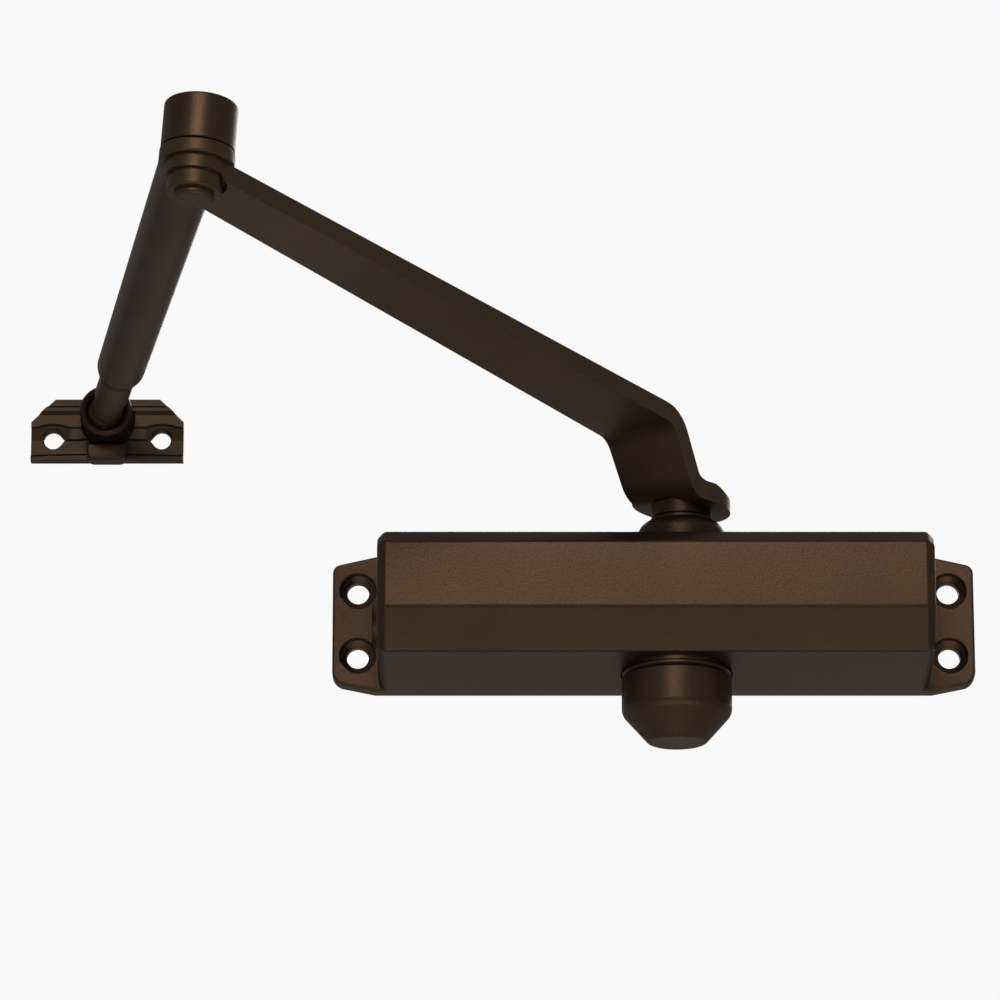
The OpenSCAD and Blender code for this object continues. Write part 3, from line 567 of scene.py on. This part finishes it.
print("foot plate in", STEPS, "steps:", len(plate.faces), "faces")

# %% Arches in the ledges
LOW_LEDGE, HIGH_LEDGE, LOWER_EDGE = (5.5, 6.8), (9.5, 10.5), 2
MIDDLE_RISE, MIDDLE_HALF = 0.9, 8
HOLE_RISE, HOLE_HALF = 0.9, 4.6
EDGE_RISE, EDGE_HALF = 0.45, 22
FLAT_FROM, PROUD_Y, FLAT_Y, BACK_Y = 11.5, -0.0025, -0.00225, -0.001
for v in plate.verts:
    x, z = v.co.x / MM, v.co.z / MM
    if LOW_LEDGE[0] < z < LOW_LEDGE[1]:
        v.co.z += MIDDLE_RISE * MM * max(0, 1 - (x / MIDDLE_HALF) ** 2)
        if abs(x) > FLAT_FROM and v.co.y < PROUD_Y:
            v.co.y = FLAT_Y
    if HIGH_LEDGE[0] < z < HIGH_LEDGE[1]:
        near_hole = (abs(x) - HOLE_X) / HOLE_HALF
        v.co.z += HOLE_RISE * MM * max(0, 1 - near_hole ** 2)
    if z < LOWER_EDGE and v.co.y < BACK_Y:
        v.co.z += EDGE_RISE * MM * (1 - (x / EDGE_HALF) ** 2)
bmesh.ops.recalc_face_normals(plate, faces=plate.faces)
print("arched ledges:", MIDDLE_RISE, "mm in the middle,", HOLE_RISE, "mm over the holes")

# %% Foot outline and teardrop holes
half = FOOT_W / 2
front = [(-half, -1), (half, -1), (half, FOOT_H - FOOT_CORNER), (half - FOOT_CORNER, FOOT_H + 0.01),
         (FOOT_CORNER - half, FOOT_H + 0.01), (-half, FOOT_H - FOOT_CORNER)]
plate = combined(plate, prism(front, "Y", 1, -8), "INTERSECT")
for side in (-1, 1):
    rim = turned([(0, 1.9), (HOLE_R, 1.9), (HOLE_R + 0.8, 2.6), (HOLE_R + 0.8, 8), (0, 8)], steps=64)
    at_hole = (side * HOLE_X, 0, HOLE_Z - FOOT_LOW)
    plate = combined(plate, moved(rim, axis_frame(at_hole, (0, -1, 0))), "DIFFERENCE")
    drop = arc((0, 0), HOLE_R, 42, 318, 28) + [(HOLE_POINT, 0)]
    teardrop = prism([(-side * x, z) for x, z in drop], "Y", 1, -9)
    plate = combined(plate, moved(teardrop, Matrix.Translation(Vector(at_hole) * MM)), "DIFFERENCE")
print("foot plate:", len(plate.faces), "faces")

# %% Cup and rib
cup_at = axis_frame((0.1, 0, FOOT_Z - FOOT_LOW + 0.3), (0, -1, 0))
CUP_R, CUP_D, CUP_IN = 7.5, 13.0, 5.4
cup = turned([(0, 1), (CUP_R + 1.2, 1), (CUP_R - 0.4, 6), (CUP_R - 0.4, CUP_D - 2.6), (CUP_R, CUP_D - 1.2),
              (CUP_R - 0.35, CUP_D - 0.3), (CUP_R - 1.0, CUP_D), (CUP_IN + 0.4, CUP_D - 0.4),
              (CUP_IN, CUP_D - 1.2), (CUP_IN, FOOT_D), (0, 5.2)])
foot_casting = combined(plate, moved(cup, cup_at), "UNION")
RIB_W, RIB_D = 11.4 / 2, 6.1
rib_front = ([(-RIB_W, 4.6)] + arc((-RIB_W + 2, 1.5), 2, 180, 270, 5)
             + arc((RIB_W - 2, 1.5), 2, 270, 360, 5) + [(RIB_W, 4.6)])
rib = prism(rib_front, "Y", -0.5, -(RIB_D - 0.5))
soften(rib, 0.9, segments=4, which=lambda e: max(v.co.y for v in e.verts) < -0.006)
foot_casting = combined(foot_casting, rib, "UNION")
piece("foot_bracket_finished", moved(foot_casting, Matrix.Translation(Vector((FOOT_X, 0, FOOT_LOW)) * MM)),
      fine_coat, "foot", "foot_bracket")

# %% [markdown]
# ## The arm screw
# On top of the pinion a socket-head screw and a washer hold the arm. They show only from above.

# %% Screw and washer
SEAT_Z = EYE_Z + BAR_T
washer = turned([(3.2, SEAT_Z), (5.5, SEAT_Z), (5.5, SEAT_Z + 1), (3.2, SEAT_Z + 1)], steps=64, tube=True)
soften(washer, 0.2)
piece("arm_washer_finished", moved(washer, at_pinion), black_steel, "pinion_and_arm", "arm_washer")
head_low, head_high = SEAT_Z + 1, SEAT_Z + 6.2
screw = turned([(0, head_low - 13.9), (2.95, head_low - 13.9), (2.95, head_low), (4.9, head_low),
                (4.9, head_high), (0, head_high)], steps=64)
soften(screw, 0.4, which=lambda e: min(v.co.z for v in e.verts) / MM > head_high - 0.01)
socket = bmesh.new()
bmesh.ops.create_cone(socket, cap_ends=True, segments=6, radius1=2.89 * MM, radius2=2.89 * MM, depth=6 * MM,
                      matrix=Matrix.Translation((0, 0, (head_high + 0.2) * MM)))
piece("arm_screw_finished", moved(combined(screw, socket, "DIFFERENCE"), at_pinion), black_steel,
      "pinion_and_arm", "arm_screw")

# %% [markdown]
# ## Floor, light and camera
# A pale floor lies well below. Three soft boxes light the object: one in front and above, which parts the
# facets from each other, a faint one below, and a wide one behind for the top and the back. The floor and
# the backdrop are lighter to the camera than to the object. A ray that comes straight from the camera sees
# a near white backdrop and a floor with a little glow, and any other ray finds a dim backdrop and no glow.
# No real studio does this. It keeps the surroundings pale without filling in the shadows on a dark object.

# %% Floor
FLOOR_Z = -0.62
floor_bm = bmesh.new()
bmesh.ops.create_grid(floor_bm, x_segments=1, y_segments=1, size=6.0)
bmesh.ops.translate(floor_bm, vec=(0, 0, FLOOR_Z), verts=floor_bm.verts)
floor_mesh = bpy.data.meshes.new("floor")
floor_bm.to_mesh(floor_mesh)
floor_bm.free()
floor = bpy.data.objects.new("floor", floor_mesh)
bpy.context.scene.collection.objects.link(floor)
paper, paper_tree, paper_shader, _ = new_finish("pale_paper_floor")
paper_shader.inputs["Base Color"].default_value = linear("#cacac8")
paper_shader.inputs["Roughness"].default_value = 0.9
straight = add(paper_tree, "LightPath")
glow = add(paper_tree, "Math", [(0, straight, "Is Camera Ray")], operation="MULTIPLY")
glow.inputs[1].default_value = 0.5
paper_shader.inputs["Emission Color"].default_value = linear("#f4f4f3")
paper_tree.links.new(glow.outputs["Value"], paper_shader.inputs["Emission Strength"])
floor.data.materials.append(paper)
print("floor height, m:", FLOOR_Z)

# %% Light
world = bpy.data.worlds.new("studio")
bpy.context.scene.world = world
world.use_nodes = True
sky = world.node_tree
sky.nodes.clear()
rays = add(sky, "LightPath")
seen = add(sky, "Background", Color=linear("#f9f9f9"), Strength=1.0)
lights_with = add(sky, "Background", Color=linear("#f6f4f2"), Strength=0.2)
backdrop = add(sky, "MixShader", [(0, rays, "Is Camera Ray"), (1, lights_with, "Background"),
                                  (2, seen, "Background")])
add(sky, "OutputWorld", [("Surface", backdrop, "Shader")])


def soft_box(name, place, aim, width, height, watts):
    lamp = bpy.data.lights.new(name, "AREA")
    lamp.shape, lamp.size, lamp.size_y, lamp.energy = "RECTANGLE", width, height, watts
    obj = bpy.data.objects.new(name, lamp)
    obj.location = place
    obj.rotation_euler = (Vector(aim) - Vector(place)).to_track_quat("-Z", "Y").to_euler()
    bpy.context.scene.collection.objects.link(obj)
    print(name, watts, "W")


soft_box("front_box", (-0.2, -1.9, 0.88), (-0.03, 0, 0.02), 0.9, 0.5, 5.8)
soft_box("low_box", (0.0, -0.5, -0.55), (0, 0, 0), 0.9, 0.5, 0.8)
soft_box("back_box", (0.3, 1.6, 0.9), (0, 0, 0), 1.6, 0.9, 11)

# %% Camera
CAMERA_PITCH = 16.5
camera_data = bpy.data.cameras.new("camera")
camera_data.lens, camera_data.sensor_width = 200, 36
camera_data.clip_start, camera_data.clip_end = 0.05, 50
camera = bpy.data.objects.new("camera", camera_data)
camera.location = (-0.0436, -1.529, -0.4147)
camera.rotation_euler = (radians(90 + CAMERA_PITCH), 0, 0)
bpy.context.scene.collection.objects.link(camera)
bpy.context.scene.camera = camera
bpy.context.scene.view_settings.view_transform = "Standard"
print("camera looks up by", CAMERA_PITCH, "degrees")
